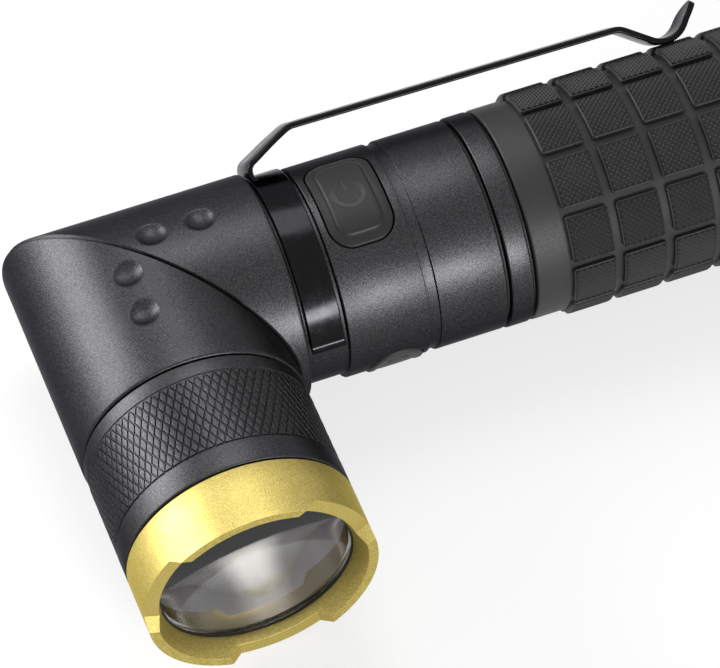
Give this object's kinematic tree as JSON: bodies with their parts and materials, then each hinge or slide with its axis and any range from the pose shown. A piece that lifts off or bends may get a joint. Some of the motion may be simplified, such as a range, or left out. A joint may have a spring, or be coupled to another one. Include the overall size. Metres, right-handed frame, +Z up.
{
  "type": "firefighter flashlight",
  "caption": "Right-angle flashlight whose lamp head turns on a slanted joint, with a strike bezel, push button, pocket clip and rubber grip.",
  "frame": {"origin": "bottom centre of the bounding box, as the flashlight lies on the floor with its button up", "axes": "+X along the handle towards the tail cap, -Y along the lamp head's beam, +Z up through the button"},
  "size_m": [0.1552, 0.0718, 0.036],
  "materials": {
    "black_anodised": "fine blasted matt black anodised",
    "gold_anodised": "satin gold anodised",
    "spring_steel_black": "gloss black",
    "black_rubber": "matt with fine points",
    "black_key": "matt",
    "clear_glass": "polished",
    "mirror_silver": "vacuum metallised",
    "bare_aluminium": "turned",
    "steel": "turned",
    "brass": "plain",
    "circuit_board": "satin",
    "white_ceramic": "satin",
    "phosphor": "matt",
    "cell_wrap": "shrink film",
    "wire_red": "satin",
    "nickel": "nickel plated"
  },
  "bodies": {
    "handle": {"body_elbow_shell": "black_anodised", "swivel_washer": "brass", "swivel_seal": "black_rubber", "housing_seal": "black_rubber", "switch_housing": "black_anodised", "switch_board": "circuit_board", "tact_switch": "black_key", "charge_port": "nickel", "driver_board": "circuit_board", "contact_spring": "nickel", "driver_lead": "wire_red", "ring_seal_front": "black_rubber", "lock_ring": "black_anodised", "ring_seal_rear": "black_rubber", "battery_tube": "bare_aluminium", "rubber_grip": "black_rubber", "battery_cell": "cell_wrap", "tail_seal": "black_rubber"},
    "lamp_head": {"head_elbow_shell": "black_anodised", "swivel_spindle": "steel", "swivel_nut": "steel", "head_seal": "black_rubber", "lamp_housing": "black_anodised", "strike_bezel": "gold_anodised", "front_lens": "clear_glass", "lens_seal": "black_rubber", "reflector": "mirror_silver", "led_insulator": "white_ceramic", "led_package": "phosphor", "led_board": "white_ceramic", "led_board_screw_1": "steel", "led_board_screw_2": "steel", "heat_sink": "bare_aluminium", "lamp_lead": "wire_red"},
    "tail_cap": {"tail_cap": "black_anodised", "tail_magnet": "nickel", "tail_spring_seat": "brass", "tail_spring": "nickel"},
    "clip": {"pocket_clip": "spring_steel_black"},
    "button": {"button_key": "black_key"},
    "port_cover": {"port_cover": "black_rubber"}
  },
  "joints": [
    {"name": "head_swivel", "type": "hinge", "parent": "handle", "child": "lamp_head", "pos_m": [-0.05958, 0.01608, 0.018], "axis": [-0.7071, -0.7071, 0], "range_deg": [0, 180]},
    {"name": "clip_turn", "type": "hinge", "parent": "handle", "child": "clip", "pos_m": [-0.05958, 0.01608, 0.018], "axis": [1, 0, 0], "continuous": true},
    {"name": "button_press", "type": "slide", "parent": "handle", "child": "button", "axis": [0, 0, -1], "range_m": [0, 0.0008], "stiffness_N_per_m": 900},
    {"name": "port_cover_open", "type": "hinge", "parent": "handle", "child": "port_cover", "pos_m": [-0.02498, -0.0006, 0.01423], "axis": [-1, 0, 0], "range_deg": [0, 100]},
    {"name": "tail_cap_off", "type": "slide", "parent": "handle", "child": "tail_cap", "axis": [1, 0, 0], "range_m": [0, 0.02]}
  ]
}
